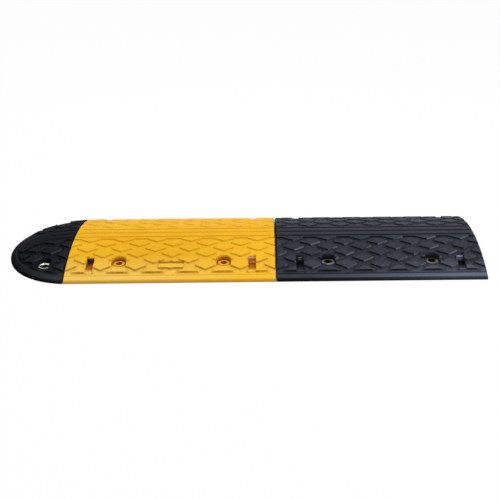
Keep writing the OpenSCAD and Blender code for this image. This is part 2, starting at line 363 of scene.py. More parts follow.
def staggered(low, high, pitch):
    """Staggered points over a rectangle."""
    xs = np.arange(low[0] + pitch / 2, high[0], pitch)
    ys = np.arange(low[1] + pitch / 2, high[1], pitch * 0.85)
    return np.array([(x + (pitch / 2 if j % 2 else 0), y) for j, y in enumerate(ys) for x in xs])


def clip(points, normal, limit):
    """The part of a convex polygon where the dot product with normal is at most limit."""
    out = []
    side = points @ np.array(normal) - limit
    for i in range(len(points)):
        p, q, a, b = points[i - 1], points[i], side[i - 1], side[i]
        if a * b < 0:
            out.append(p + (q - p) * a / (a - b))
        if b <= 0:
            out.append(q)
    return np.array(out)


def lozenge_loop(offset):
    """Outline of a lozenge, moved outwards by offset."""
    a, b = lozenge_core()
    r = TREAD_ROUND + offset
    lean = atan2(a, b)         # direction of the outward normal of the upper right side
    quarter = np.vstack((ring(r, 2, (a, 0), 0, lean), ring(r, 2, (0, b), lean, pi / 2)[:-1]))
    upper = np.vstack((quarter, [[0, b + r]], quarter[::-1] * [-1, 1]))
    return np.vstack((upper, (upper * [1, -1])[-2:0:-1]))


def pocket_loop(inset, run):
    """Outline of a bolt pocket about its bolt, moved inwards, with +Y outwards."""
    r = POCKET_W / 2 - inset
    back = ring(r, BACK_N, (0, 0), pi, 2 * pi)
    return np.vstack(([[-r, run]], back, [[r, run]]))


def notch_loop(inset, run):
    """Outline of a notch from its rear wall, moved inwards, with +Y outwards."""
    half, r = NOTCH_W / 2 - inset, max(NOTCH_CORNER - inset, 0.15)
    left = ring(r, CORNER_N, (-half + r, inset + r), pi, 1.5 * pi)
    right = ring(r, CORNER_N, (half - r, inset + r), 1.5 * pi, 2 * pi)
    return np.vstack(([[-half, run]], left, right, [[half, run]]))


def box_loop(x, y, half_x, half_y, corner=0.0):
    """Outline of a rectangle about x, y."""
    if corner <= 0:
        return np.array([[-1, -1], [1, -1], [1, 1], [-1, 1]]) * [half_x, half_y] + [x, y]
    quarters = [ring(corner, CORNER_N, (sx * (half_x - corner), sy * (half_y - corner)), a, a + pi / 2)
                for sx, sy, a in ((1, 1, 0), (-1, 1, pi / 2), (-1, -1, pi), (1, -1, 1.5 * pi))]
    return np.vstack(quarters) + [x, y]


def stack(*columns):
    """Points in space or in plan, from columns or single numbers."""
    return np.column_stack(np.broadcast_arrays(*columns))


def lozenge_middles(n_even):
    """Middles of the lozenges on both slopes, with n_even of them in an even row."""
    out = []
    for row in range(ROWS + 1):
        y = FOOT_Y - row * ROW_STEP
        n = n_even + row % 2
        out += [((j - (n - 1) / 2) * COL_STEP, side * y) for side in (-1, 1) for j in range(n)]
    return out


# ---- the three bodies, with x from a module's middle or from the cap's face ----

class Form:
    """What a module and the end cap share."""

    notches = ()
    padded = False

    def tread_distance(self, x, y):
        slope = np.maximum(lattice_distance(x - self.lattice_x, y), np.abs(y) - FOOT_Y)
        if self.padded:
            slope = np.maximum(slope, PAD_CLEAR - lozenge_distance(x, y + PAD_ROW_Y))
        return np.maximum(np.minimum(slope, np.abs(y) - CROWN_Y), self.beyond_tread(x, y))

    def pad_distance(self, x, y):
        bar = box_distance(x, y + PAD_Y, PAD_LEN / 2, PAD_W / 2)
        return np.minimum(bar, np.hypot(x, y + PAD_Y) - PAD_DISC_D / 2)

    def height(self, x, y):
        """Height of the upper surface."""
        down = self.downhill(x, y)
        raised = inside(self.tread_distance(x, y), TREAD_SOFT)
        band = inside(down - (self.half - TOE_BAND), TOE_SOFT)
        z = arc(down, self.half, TREAD_H * raised - TOE_DROP * (1 - band))
        for groove_y in GROOVES:
            groove = np.clip(1 - ((y - groove_y) / (GROOVE_W / 2)) ** 2, 0, 1)
            z = z - GROOVE_D * groove * raised * self.groove_share(x)
        if self.padded:
            z = z + (PAD_Z - z) * inside(self.pad_distance(x, y), PAD_SOFT)
        z = sink(z, NOTCH_Z, nearest(self.notches, notch_distance, x, y))
        z = sink(z, self.pocket_z, nearest(self.bolts, pocket_distance, x, y))
        bolt = nearest(self.bolts, np.hypot, x, y)
        z = z - WASHER_SEAT * inside(bolt - self.seat_r + SEAT_SOFT, SEAT_SOFT)
        return z - rounding(self.inward(x, y), RIM_ROUND)

    def tread_fall(self, x, y, way):
        """How much the tread drops over a short step one way, as a share of its height."""
        ox, oy = STEP * way[0], STEP * way[1]
        above = inside(self.tread_distance(x - ox, y - oy), TREAD_SOFT)
        return above - inside(self.tread_distance(x + ox, y + oy), TREAD_SOFT)

    def underside(self, x, y):
        """Height of the lower surface, with its cores."""
        core = CORE_H * inside(self.core_distance(x, y) + CORE_RUN / 2, CORE_RUN / 2)
        return core + rounding(self.inward(x, y), FOOT_ROUND)

    def solid(self, x, y):
        """True within the outline and outside the bolt holes."""
        return (self.inward(x, y) > 0) & (nearest(self.bolts, np.hypot, x, y) > BOLT_R * HOLE_FLAT)

    def openings(self):
        """Each pocket and notch: its spot, loop and width, and where its floor leaves arch and tread."""
        for spots, loop, width, floor, half, down in (
                (self.bolts, pocket_loop, POCKET_W, self.pocket_z, self.half, self.bolt_down),
                (self.notches, notch_loop, NOTCH_W, NOTCH_Z, HALF_W, NOTCH_Y)):
            ends = [reach(floor, half, lift) - down for lift in (0, TREAD_H)]
            for spot in spots:
                yield spot, loop, width, ends

    def open_points(self):
        """Points of the field that lie clear of every contour."""
        points = staggered(*self.extent, FIELD_PITCH)
        x, y = points.T
        clear = np.abs(self.tread_distance(x, y)) > TREAD_SOFT + CLEAR
        clear &= np.abs(nearest(self.bolts, pocket_distance, x, y)) > 2 * CLEAR
        clear &= np.abs(nearest(self.notches, notch_distance, x, y)) > 2 * CLEAR
        clear &= nearest(self.bolts, np.hypot, x, y) > self.seat_r + CLEAR
        clear &= self.inward(x, y) > RIM_ROUND + 1.5 * CLEAR
        return points[clear]


class Module(Form):
    lattice_x = 0.0
    half = HALF_W
    pocket_z = POCKET_Z
    bolt_down = BOLT_Y
    extent = ((-HALF_LEN, -HALF_W), (HALF_LEN, HALF_W))
    ends = ((-HALF_LEN, PEG_PROFILE), (HALF_LEN, SOCKET_PROFILE))
    tread_limits = [((1, 0), TREAD_HALF), ((-1, 0), TREAD_HALF)]

    def __init__(self, washer_d, padded):
        self.seat_r = washer_d / 2 + WASHER_PLAY
        self.padded = padded
        corners = [(sx, sy) for sy in (-1, 1) for sx in (-1, 1)]
        self.bolts = [Spot(sx * BOLT_X, sy * BOLT_Y, (0, sy)) for sx, sy in corners]
        self.notches = [Spot(sx * NOTCH_X, sy * NOTCH_Y, (0, sy)) for sx, sy in corners]
        self.cores = module_cores()
        self.lozenges = lozenge_middles(COLS)
        if padded:
            self.lozenges = [m for m in self.lozenges if dist(m, (0, -PAD_ROW_Y)) > 1]

    def outline(self, inset):
        return resample(box_loop(0, 0, HALF_LEN - inset, HALF_W - inset), EDGE_PITCH)

    def lines(self):
        """Lines along the toes and the grooves."""
        toes = [side * (HALF_W - TOE_BAND + TOE_SOFT * f) for side in (-1, 1) for f in TOE_STEPS]
        across = [straight((-HALF_LEN, y), (HALF_LEN, y), LONG_PITCH) for y in toes + GROOVE_LINES]
        return across[:len(toes)] + [line[1:-1] for line in across[len(toes):]]

    def sides(self):
        """For each side: how far a place is from it, the way along it, and its points in space."""
        for side_y in (-HALF_W, HALF_W):
            yield lambda x, y: y - side_y, lambda x, y: x, lambda x, z: stack(x, side_y, z)

    def core_loops(self):
        return [box_loop(x, y, hx - CORE_RUN * f, hy - CORE_RUN * f, CORE_CORNER - CORE_RUN * f)
                for x, y, hx, hy in self.cores for f in CORE_STEPS]

    def downhill(self, x, y):
        return np.abs(y)

    def downhill_way(self, x, y):
        return 0.0, np.sign(y)

    def inward(self, x, y):
        return np.minimum(HALF_LEN - np.abs(x), HALF_W - np.abs(y))

    def beyond_tread(self, x, y):
        return np.abs(x) - TREAD_HALF

    def groove_share(self, x):
        return 1.0

    def core_distance(self, x, y):
        return np.minimum.reduce([box_distance(x - cx, y - cy, hx, hy, CORE_CORNER)
                                  for cx, cy, hx, hy in self.cores])


class Cap(Form):
    lattice_x = -TREAD_END
    half = CAP_R
    pocket_z = CAP_POCKET_Z
    bolt_down = CAP_BOLT_R
    extent = ((-CAP_LEN, -HALF_W), (0, HALF_W))
    ends = ((0.0, SOCKET_PROFILE),)
    axis = CAP_AXIS - CAP_FACE

    def __init__(self, washer_d):
        self.seat_r = washer_d / 2 + WASHER_PLAY
        x = CAP_BOLT_X - CAP_FACE
        self.bolts = [Spot(x, sy * CAP_BOLT_Y, (x - self.axis, sy * CAP_BOLT_Y)) for sy in (-1, 1)]
        middles = lozenge_middles(2 * ceil(CAP_LEN / COL_STEP))
        self.lozenges = [(x - TREAD_END, y) for x, y in middles if x < LOZENGE_LEN]
        self.tread_limits = [((1, 0), -TREAD_END)]
        for a in np.linspace(pi / 2, 1.5 * pi, CUTS_N):
            limit = CAP_R - TREAD_FOOT + self.axis * cos(a)
            self.tread_limits.append(((cos(a), sin(a)), limit))

    def arc_line(self, r, x, pitch):
        """Points round the cap at radius r, on the far side of the plane at x."""
        a = acos((x - self.axis) / r)
        return ring(r, ceil(2 * r * (pi - a) / pitch), (self.axis, 0), a, 2 * pi - a)

    def outline(self, inset):
        edge = self.arc_line(CAP_R - inset, -inset, RIM_PITCH)
        return np.vstack((edge, straight(edge[-1], edge[0], EDGE_PITCH)[1:-1]))

    def lines(self):
        """Lines along the toe and the grooves."""
        toes = [self.arc_line(CAP_R - TOE_BAND + TOE_SOFT * f, 1.0, FINE_PITCH) for f in TOE_STEPS]
        return toes + [straight((-TREAD_END, y), (-GROOVE_END, y), FINE_PITCH) for y in GROOVE_LINES]

    def sides(self):
        """As for a module, with the way round the cap as an arc length."""
        yield (lambda x, y: self.downhill(x, y) - CAP_R,
               lambda x, y: CAP_R * np.arctan2(y, self.axis - x),
               lambda s, z: stack(self.axis - CAP_R * np.cos(s / CAP_R), CAP_R * np.sin(s / CAP_R), z))

    def core_loops(self):
        angles = [pi / 2 - OVERLAP, *CAP_RIBS, 1.5 * pi + OVERLAP]
        return [self.cell(a, b, CORE_RUN * f) for a, b in zip(angles, angles[1:]) for f in CORE_STEPS]

    def cell(self, first, last, inset):
        """Outline of a core between two ribs."""
        arcs = []
        for r in (CAP_CORE_R - inset, CAP_HUB_R + inset):
            lean = asin((RIB_T / 2 + inset) / r)
            arcs.append(ring(r, CELL_N, (self.axis, 0), first + lean, last - lean))
        return clip(np.vstack((arcs[0], arcs[1][::-1])), (1, 0), -END_WALL - inset)

    def downhill(self, x, y):
        return np.hypot(x - self.axis, y)

    def downhill_way(self, x, y):
        r = np.maximum(self.downhill(x, y), 1.0)
        return (x - self.axis) / r, y / r

    def inward(self, x, y):
        return np.minimum(-x, CAP_R - self.downhill(x, y))

    def beyond_tread(self, x, y):
        return np.maximum(x + TREAD_END, self.downhill(x, y) - (CAP_R - TREAD_FOOT))

    def groove_share(self, x):
        """The grooves run out before the round end."""
        return inside(-x - FADE_AT, FADE_HALF)

    def core_distance(self, x, y):
        r = self.downhill(x, y)
        rib = FAR
        for a in CAP_RIBS:
            along = (x - self.axis) * cos(a) + y * sin(a)
            beside = np.abs(y * cos(a) - (x - self.axis) * sin(a))
            rib = np.minimum(rib, np.where(along > 0, beside, r))
        return np.maximum.reduce([r - CAP_CORE_R, CAP_HUB_R - r, x + END_WALL, RIB_T / 2 - rib])


def module_cores():
    """Middle and half sizes of every core under a module."""
    span = MODULE_LEN - 2 * END_WALL
    cell = (span - (CORE_N - 1) * RIB_T) / CORE_N
    reach_y = HALF_W - CORE_TOE
    row = (reach_y - 1.5 * RIB_T) / 2
    xs = [(i - (CORE_N - 1) / 2) * (cell + RIB_T) for i in range(CORE_N)]
    out = []
    for side in (-1, 1):
        for k in (0, 1):
            out += [(x, side * (RIB_T / 2 + row / 2 + k * (row + RIB_T)), cell / 2, row / 2) for x in xs]
        y = side * (reach_y + RIB_T + SIDE_CORE_W / 2)
        out += [(sx * SIDE_CORE_DX / 2, y, SIDE_CORE_LEN / 2, SIDE_CORE_W / 2) for sx in (-1, 1)]
    return out


# ---- surfaces ----

def triangulate(loops, lines, points, keep):
    """Triangles in the plane that follow closed loops and open lines, where keep(x, y) holds."""
    coords, edges = [], []
    for path, closed in [(p, True) for p in loops] + [(p, False) for p in lines]:
        first, n = len(coords), len(path)
        coords += [Vector(p) for p in path]
        edges += [(first + i, first + (i + 1) % n) for i in range(n if closed else n - 1)]
    coords += [Vector(p) for p in points]
    verts, _, faces, _, _, _ = delaunay_2d_cdt(coords, edges, [], 0, MEET)
    flat = np.array([tuple(v) for v in verts])
    faces = np.array([f for f in faces if len(f) == 3])
    middle = flat[faces].mean(axis=1)
    return flat, faces[keep(middle[:, 0], middle[:, 1])]


def add_object(name, mesh):
    obj = bpy.data.objects.new(name, mesh)
    bpy.context.scene.collection.objects.link(obj)
    return obj


def mesh_from(bm, name):
    mesh = bpy.data.meshes.new(name)
    bm.to_mesh(mesh)
    bm.free()
    return mesh


class Shell:
    """Vertices and faces of one closed piece, in millimetres, from patches that meet edge to edge."""

    def __init__(self):
        self.verts, self.faces, self.count = [], [], 0

    def add(self, verts, faces):
        self.verts.append(np.asarray(verts, float))
        self.faces += [tuple(int(i) + self.count for i in f) for f in faces]
        self.count += len(verts)

    def sheet(self, flat, faces, height):
        """A patch over the plane at height(x, y); gives its points in the plane."""
        used = np.unique(faces)
        index = np.full(len(flat), -1)
        index[used] = np.arange(len(used))
        flat = flat[used]
        self.add(stack(*flat.T, height(*flat.T)), index[faces])
        return flat

    def strip(self, rings):
        """Quads between closed rings of equal length, in order."""
        n = len(rings[0])
        quads = []
        for k in range(len(rings) - 1):
            quads += [(k * n + i, k * n + (i + 1) % n, (k + 1) * n + (i + 1) % n, (k + 1) * n + i)
                      for i in range(n)]
        self.add(np.vstack(rings), quads)

    def wall(self, top, bottom, place, holes=()):
        """An upright wall between two edges given as (s, z), with holes; place(s, z) puts it in space."""
        low, high = bottom[0, 0], bottom[-1, 0]

        def keep(s, z):
            ok = (z < np.interp(s, *top.T)) & (z > np.interp(s, *bottom.T)) & (s > low) & (s < high)
            for hole in holes:
                middle = hole.mean(axis=0)
                ok &= np.hypot(s - middle[0], z - middle[1]) > np.hypot(*(hole[0] - middle)) * HOLE_FLAT
            return ok

        outline = np.vstack((top, bottom[::-1]))
        flat, faces = triangulate([outline, *holes], [], [], keep)
        self.add(place(*flat.T), faces)

    def finish(self, name, to_world):
        """Makes the object in metres, with soft shading except at sharp edges."""
        mesh = bpy.data.meshes.new(name)
        mesh.from_pydata((np.vstack(self.verts) * MM).tolist(), [], self.faces)
        bm = bmesh.new()
        bm.from_mesh(mesh)
        bmesh.ops.remove_doubles(bm, verts=bm.verts, dist=WELD)
        bmesh.ops.dissolve_degenerate(bm, dist=1e-6, edges=bm.edges)
        bmesh.ops.recalc_face_normals(bm, faces=bm.faces)
        for edge in bm.edges:
            edge.smooth = edge.calc_face_angle(0.0) < SHARP
        for face in bm.faces:
            face.smooth = True
        bm.to_mesh(mesh)
        bm.free()
        mesh.transform(to_world)
        obj = add_object(name, mesh)
        obj.modifiers.new("face_weights", "WEIGHTED_NORMAL").keep_sharp = True
        return obj


def tread_loops(form):
    """Contours round every lozenge and the crown band, cut off at the limits."""
    loops = []
    for share in TREAD_STEPS:
        offset = share * TREAD_SOFT
        shapes = []
        for x, y in form.lozenges:
            side = copysign(1, y)
            cuts = [((0, side), FOOT_Y + offset), ((0, -side), 1 - CROWN_Y)]
            shapes.append((lozenge_loop(offset) + [x, y], cuts))
        shapes.append((box_loop(0, 0, 2 * HALF_LEN, CROWN_Y + offset), []))
        for loop, cuts in shapes:
            for normal, limit in cuts + [(n, at + offset) for n, at in form.tread_limits]:
                loop = clip(loop, normal, limit) if len(loop) else loop
            if len(loop) > 2:
                loops.append(resample(loop, LONG_PITCH))
    return loops


def clear_of_seats(loop, form):
    """Lines along a loop, without those of its sides that cross the seat of a washer."""
    ends = np.roll(loop, -1, axis=0)
    middle = (loop + ends) / 2
    clear = nearest(form.bolts, np.hypot, *middle.T) > form.seat_r
    if clear.all():
        return [np.vstack((loop, loop[:1]))]
    return [np.array([p, q]) for p, q, ok in zip(loop, ends, clear) if ok]


def upper_surface(shell, form):
    """The patch that follows a form's height, with contours wherever it bends."""
    loops = [form.outline(RIM_ROUND * f) for f in RIM_STEPS]
    lines = form.lines() + [side for loop in tread_loops(form) for side in clear_of_seats(loop, form)]
    for spot, loop, width, ends in form.openings():
        loops += [resample(spot.place(loop(WALL_RUN * f, ends[1] + 1)), WALL_PITCH) for f in WALL_STEPS]
        lines += [spot.place(np.array([[-width / 2, end], [width / 2, end]])) for end in ends]
        if spot in form.bolts:
            loops += [spot.place(ring(r, SEAT_N)) for r in (form.seat_r, form.seat_r - 2 * SEAT_SOFT)]
    if form.padded:
        for offset in PAD_SOFT * np.array(PAD_STEPS):
            bar = box_loop(0, -PAD_Y, PAD_LEN / 2 + offset, PAD_W / 2 + offset)
            loops += [resample(bar, FINE_PITCH), ring(PAD_DISC_D / 2 + offset, ROUND_N, (0, -PAD_Y))]
    holes = [spot.place(ring(BOLT_R, ROUND_N)) for spot in form.bolts]
    flat, faces = triangulate(loops + holes, lines, form.open_points(), form.solid)
    return shell.sheet(flat, faces, form.height), holes


def lower_surface(shell, form, holes):
    """The underside, with its cores, and the walls of the bolt holes."""
    loops = [form.outline(FOOT_ROUND * f) for f in FOOT_STEPS] + form.core_loops()
    patch = shell.sheet(*triangulate(loops + holes, [], [], form.solid), form.underside)
    for hole in holes:
        shell.strip([stack(*hole.T, height(*hole.T)) for height in (form.underside, form.height)])
    return patch


def edge_pair(form, patches, off_edge, along):
    """The edges of both patches where off_edge(x, y) is 0, as (along, z) in order."""
    edges = []
    for flat, height in zip(patches, (form.height, form.underside)):
        x, y = flat[np.abs(off_edge(*flat.T)) < ON_EDGE].T
        edge = stack(along(x, y), height(x, y))
        edges.append(edge[np.argsort(edge[:, 0])])
    return edges


def body(form):
    """The whole shell of a module or the end cap."""
    shell = Shell()
    upper, holes = upper_surface(shell, form)
    patches = upper, lower_surface(shell, form, holes)
    for off_edge, along, place in form.sides():
        shell.wall(*edge_pair(form, patches, off_edge, along), place)
    for at, profile in form.ends:
        edges = edge_pair(form, patches, lambda x, y: x - at, lambda x, y: y)
        mouths = [ring(profile[0][1], ROUND_N, (y, PEG_Z)) for y in PEGS_Y]
        shell.wall(*edges, lambda y, z: stack(at, y, z), mouths)
        for y in PEGS_Y:
            rings = [stack(at + along, *ring(r, ROUND_N, (y, PEG_Z)).T) for along, r in profile]
            shell.strip(rings)
            shell.add(rings[-1], [range(ROUND_N)])
    return shell


# ---- fittings ----

def round_corner(r, z, turn):
    """Three points that round a right-angled corner; turn is the angle of its outward diagonal."""
    diagonal = radians(turn)
    back = WASHER_EDGE * sqrt(2)
    middle = (r - back * cos(diagonal), z - back * sin(diagonal))
    return [*ring(WASHER_EDGE, 2, middle, diagonal - pi / 4, diagonal + pi / 4)]


def washer_profile(inner, outer, thick, dish):
    """Section of a washer with rounded edges, and a dished top where dish is over zero."""
    profile = round_corner(inner, 0, 225) + round_corner(outer, 0, 315) + round_corner(outer, thick, 45)
    if not dish:
        return profile + round_corner(inner, thick, 135)
    edge = [(outer - away, thick + up) for away, up in DISH_EDGE]
    return profile + edge + [(inner + away, thick - dish + up) for away, up in DISH_FOOT]


def washer(node, slot, paint, dish=0.0):
    """A pressed washer where the frame holds the node."""
    low, high = node_span(node)
    inner, outer = WASHER_HOLE_D / 2, (high[0] - low[0]) / 2
    profile = washer_profile(inner, outer, high[2] - low[2], dish)
    rings = [stack(*ring(r, WASHER_N).T, z) for r, z in profile]
    shell = Shell()
    shell.strip(rings + rings[:1])
    middle = Vector(((low[0] + high[0]) / 2, (low[1] + high[1]) / 2, low[2]))
    obj = shell.finish(node + "_ring", Matrix.Translation(middle * MM))
    x, y, _ = vertices(obj.data)
    x, y = x - middle.x, y - middle.y
    r = np.hypot(x, y)
    across = (r - inner) / (outer - inner)
    if dish:
        across += (0.8 * x + 0.5 * y) / r * 0.35 - 0.08      # painted shade reaches further out on one side of the dish
    store(obj.data, {"across": across})
    return dress(obj, node, slot, [paint])


def facing_front(bm, least_area):
    return [f for f in bm.faces if f.normal.y < -0.5 and f.calc_area() > least_area]


def reflector_block(size):
    """A block with its back at y = 0 and a bevelled face towards -Y, which holds sunk lenses."""
    half = size[0] / 2 - REFLECTOR_PLAY
    front, shoulder = REFLECTOR_BEVEL - size[1], size[2] - REFLECTOR_BEVEL
    section = [(0, 0), (0, size[2]), (front, size[2]), (-size[1], shoulder), (-size[1], 0)]
    bm = bmesh.new()
    ends = [[bm.verts.new((x, y, z)) for y, z in section] for x in (-half, half)]
    bm.faces.new(ends[0])
    bm.faces.new(ends[1][::-1])
    for i in range(len(section)):
        k = (i + 1) % len(section)
        bm.faces.new((ends[0][i], ends[1][i], ends[1][k], ends[0][k]))
    bmesh.ops.recalc_face_normals(bm, faces=bm.faces)
    edges = [e for e in bm.edges if e.calc_face_angle(0) > 0.3]
    bmesh.ops.bevel(bm, geom=edges, offset=REFLECTOR_EDGE, segments=2, profile=0.5, affect="EDGES")
    panels = facing_front(bm, FRAME_AREA)
    frames = bmesh.ops.inset_individual(bm, faces=panels, thickness=LENS_RIM, depth=0.0)["faces"]
    for face in [f for f in facing_front(bm, LENS_AREA) if f not in frames]:
        prisms(bm, face)
    bm.normal_update()
    return bm


def prisms(bm, face):
    """Replaces a face by a sunk floor of four-sided prisms, marked with the second material."""
    corners = [v.co.copy() for v in face.verts]
    normal = face.normal.copy()
    right = Vector((1, 0, 0))
    up = normal.cross(right) * (-1 if normal.cross(right).z < 0 else 1)
    middle = sum(corners, Vector()) / len(corners)
    half_x, half_z = [max(abs((c - middle).dot(way)) for c in corners) for way in (right, up)]
    columns, rows = round(2 * half_x / PRISM), max(1, round(2 * half_z / PRISM))
    rim = face.verts[:]
    bm.faces.remove(face)
    floor = [bm.verts.new(c - normal * LENS_DEEP) for c in corners]
    for i in range(len(rim)):
        k = (i + 1) % len(rim)
        bm.faces.new((rim[i], rim[k], floor[k], floor[i]))
    others = set(bm.faces)
    to_floor = Matrix((right * half_x, up * half_z, normal)).transposed().to_4x4()
    to_floor.translation = middle - normal * LENS_DEEP
    bmesh.ops.create_grid(bm, x_segments=columns, y_segments=rows, size=1, matrix=to_floor)
    bm.normal_update()
    cells = [f for f in bm.faces if f not in others]
    for side in bmesh.ops.poke(bm, faces=cells, offset=LENS_DEEP * PRISM_H)["faces"]:
        side.material_index = 1
    bmesh.ops.remove_doubles(bm, verts=bm.verts, dist=0.01)


def reflector(node, slot, paints):
    """A moulded block with a bevelled face and a sunk lens of small prisms, facing out of the bump."""
    low, high = node_span(node)
    size = high - low
    in_front = low[1] < 0
    mesh = mesh_from(reflector_block(size), node)
    middle = Vector(((low[0] + high[0]) / 2, high[1] if in_front else low[1], low[2]))
    turn = Matrix.Diagonal((1, 1 if in_front else -1, 1, 1))
    mesh.transform(Matrix.Scale(MM, 4) @ Matrix.Translation(middle) @ turn)
    if not in_front:
        mesh.flip_normals()
    x, _, z = vertices(mesh)
    rise, aside = (z - low[2]) / size[2], (x - middle.x) / (size[0] / 2)
    glint = line(np.hypot((rise - GLINT_AT[1]) * size[2], (aside - GLINT_AT[0]) * size[0] / 2), GLINT_R)
    store(mesh, {"rise": rise, "glint": glint})
    return dress(add_object(node + "_lens", mesh), node, slot, paints)


def dress(obj, node, slot, paints):
    """Gives a piece its materials and lets it stand for its node."""
    for paint in paints:
        obj.data.materials.append(paint)
    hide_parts(node)
    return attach(obj, "root")


# ---- marks that the materials read, one value for each vertex ----

def line(d, width):
    """1 at zero distance, fading to 0 over a width to either side."""
    return np.exp(-(d / width) ** 2)


def store(mesh, marks):
    for name, value in marks.items():
        layer = mesh.attributes.new(name, "FLOAT", "POINT")
        layer.data.foreach_set("value", np.asarray(value, dtype=np.float32))


def vertices(mesh):
    """x, y and z of every vertex, in millimetres."""
    co = np.empty(len(mesh.vertices) * 3)
    mesh.vertices.foreach_get("co", co)
    return co.reshape(-1, 3).T / MM


def mark_surface(obj, form, x):
    """Stores what the rubber needs for its painted light and shade: walls and feet of the tread, toes,
    sunk and low places.
    """
    px, py, pz = vertices(obj.data)
    px = px - x
    d = form.tread_distance(px, py)
    beyond_toe = form.downhill(px, py) - form.half + TOE_BAND
    sunk = np.clip((arc(form.downhill(px, py), form.half) - pz - TOE_DROP - SUNK[0]) / SUNK[1], 0, 1)
    sunk = sunk * (form.inward(px, py) > RIM_ROUND)
    level = 1 - np.clip(sunk * 8, 0, 1)
    fall = form.tread_fall(px, py, form.downhill_way(px, py))
    aside = form.tread_fall(px, py, (1.0, 0.0))
    turn = aside / (np.abs(aside) + np.abs(fall) + 0.05)
    grooves = sum(line(py - y, GROOVE_W / 1.7) for y in GROOVES)
    pad = line(form.pad_distance(px, py), 1.1) * np.where(np.abs(px) > PAD_LEN / 2 - 1, 0.5, 1.0)
    # shaded, foot, groove, pad and sunk carry painted shade, lit and rim painted light; toe carries a
    # painted sheen on black rubber, and step painted shade on a module and a painted highlight on the end
    # cap
    marks = {
        "raised": inside(d, TREAD_SOFT),
        "shaded": np.clip(1.3 * fall, 0, 1) * level,
        "facing": np.clip(turn / 0.3, -1, 1) * level,
        "lit": np.clip(-fall, 0, 1) * level,
        "foot": line(d - 1.6, 1.5) * (fall >= 0) * level,
        "rim": line(d + 1.2, 1.0) * level,
        "groove": grooves * inside(d, TREAD_SOFT) * form.groove_share(px),
        "pad": pad * form.padded,
        "sunk": sunk,
        "toe": np.clip(beyond_toe / 2.0, 0, 1),
        "step": line(beyond_toe, 1.0),
        "low": np.clip((beyond_toe - TOE_BAND + LOW[0]) / LOW[1], 0, 1),
    }
    top = pz > form.height(px, py) - 0.05
    store(obj.data, {name: np.where(top, value, 0.0) for name, value in marks.items()})


# ---- node trees ----

class Nodes:
    """Short ways to add to a node tree."""

    def __init__(self, tree, coordinates):
        self.tree = tree
        self.place = self.node("TexCoord").outputs[coordinates]

    def feed(self, socket, value):
        if isinstance(value, bpy.types.NodeSocket):
            self.tree.links.new(value, socket)
        else:
            socket.default_value = value

    def node(self, kind, **inputs):
        node = self.tree.nodes.new("ShaderNode" + kind)
        for key, value in inputs.items():
            self.feed(node.inputs[key.replace("_", " ")], value)
        return node

    def math(self, operation, a, b=0.0):
        node = self.node("Math")
        node.operation = operation
        self.feed(node.inputs[0], a)
        self.feed(node.inputs[1], b)
        return node.outputs[0]

    def times(self, first, *others):
        """Product of several values."""
        for other in others:
            first = self.math("MULTIPLY", first, other)
        return first

    def largest(self, first, *others):
        for other in others:
            first = self.math("MAXIMUM", first, other)
        return first

    def less(self, value, start=1.0):
        """What is left of start when value is taken from it."""
        return self.math("SUBTRACT", start, value)

    def span(self, value, low, high, to_low=0.0, to_high=1.0):
        """Remaps a value from one range to another, clamped."""
        return self.node("MapRange", Value=value, From_Min=low, From_Max=high,
                         To_Min=to_low, To_Max=to_high).outputs[0]

    def axes(self, vector=None):
        return self.node("SeparateXYZ", Vector=vector or self.place).outputs

    def seen_directly(self):
        """1 for the rays by which the camera, metal and glass see the backdrop, and 0 for its light."""
        path = self.node("LightPath").outputs
        return self.largest(path["Is Camera Ray"], path["Is Glossy Ray"], path["Is Transmission Ray"])

    def show(self, output, share, usual, other):
        """Sends one shader to the output, and another in its place by a share."""
        swap = self.node("MixShader", Fac=share)
        self.feed(swap.inputs[1], usual.outputs[0])
        self.feed(swap.inputs[2], other.outputs[0])
        self.feed(self.tree.nodes[output].inputs["Surface"], swap.outputs[0])


class Paint(Nodes):
    """A procedural material, built up coat by coat."""

    def __init__(self, name, roughness, **sockets):
        self.material = bpy.data.materials.new(name)
        self.material.use_nodes = True
        super().__init__(self.material.node_tree, "Object")
        self.shader = self.tree.nodes["Principled BSDF"]
        for key, value in {"Roughness": roughness, **sockets}.items():
            self.shader.inputs[key.replace("_", " ")].default_value = value

    def stretched(self, x, y, z):
        """The place, scaled by axis."""
        return self.node("Mapping", Vector=self.place, Scale=(x, y, z)).outputs[0]

    def noise(self, scale, detail=4.0, rough=0.55, place=None):
        return self.node("TexNoise", Vector=place or self.place, Scale=scale, Detail=detail,
                         Roughness=rough).outputs["Fac"]

    def mark(self, name, *shares):
        """A stored mark, times any shares."""
        node = self.node("Attribute")
        node.attribute_name = name
        return self.times(node.outputs["Fac"], *shares)

    def hem(self):
        """1 on the low upright edge round a piece, 0 on what lies above it and on its underside."""
        low = self.span(self.axes()["Z"], (TOE_H + 1.2) * MM, (TOE_H - 0.2) * MM)
        turned_up = self.axes(self.node("NewGeometry").outputs["Normal"])["Z"]
        return self.times(low, self.span(turned_up, -0.8, -0.4))

    def bore(self, wide, rim):
        """1 in and round the hole of a washer, and up to rim at its outer edge."""
        across = self.mark("across")
        return self.largest(self.span(across, wide, 0.7 * wide), self.span(across, 0.9, 1.0, 0.0, rim))

    def mix(self, share, a, b):
        """Blends two colours."""
        node = self.tree.nodes.new("ShaderNodeMix")
        node.data_type = "RGBA"
        self.feed(node.inputs["Factor"], share)
        for index, colour in ((6, a), (7, b)):
            self.feed(node.inputs[index], (*colour, 1.0) if isinstance(colour, tuple) else colour)
        return node.outputs[2]

    def coat(self, share, colour):
        """Lays a colour over what is there, by a share."""
        self.colour = self.mix(share, self.colour, colour)

    def finish(self, roughness, *bumps):
        """Connects the colour, the roughness and bumps given as (height, distance, strength)."""
        self.feed(self.shader.inputs["Base Color"], self.colour)
        self.feed(self.shader.inputs["Roughness"], roughness)
        target = self.shader.inputs["Normal"]
        for height, distance, strength in bumps[::-1]:
            bump = self.node("Bump", Height=height, Distance=distance, Strength=strength)
            self.feed(target, bump.outputs[0])
            target = bump.inputs["Normal"]
        return self.material


# ---- materials ----

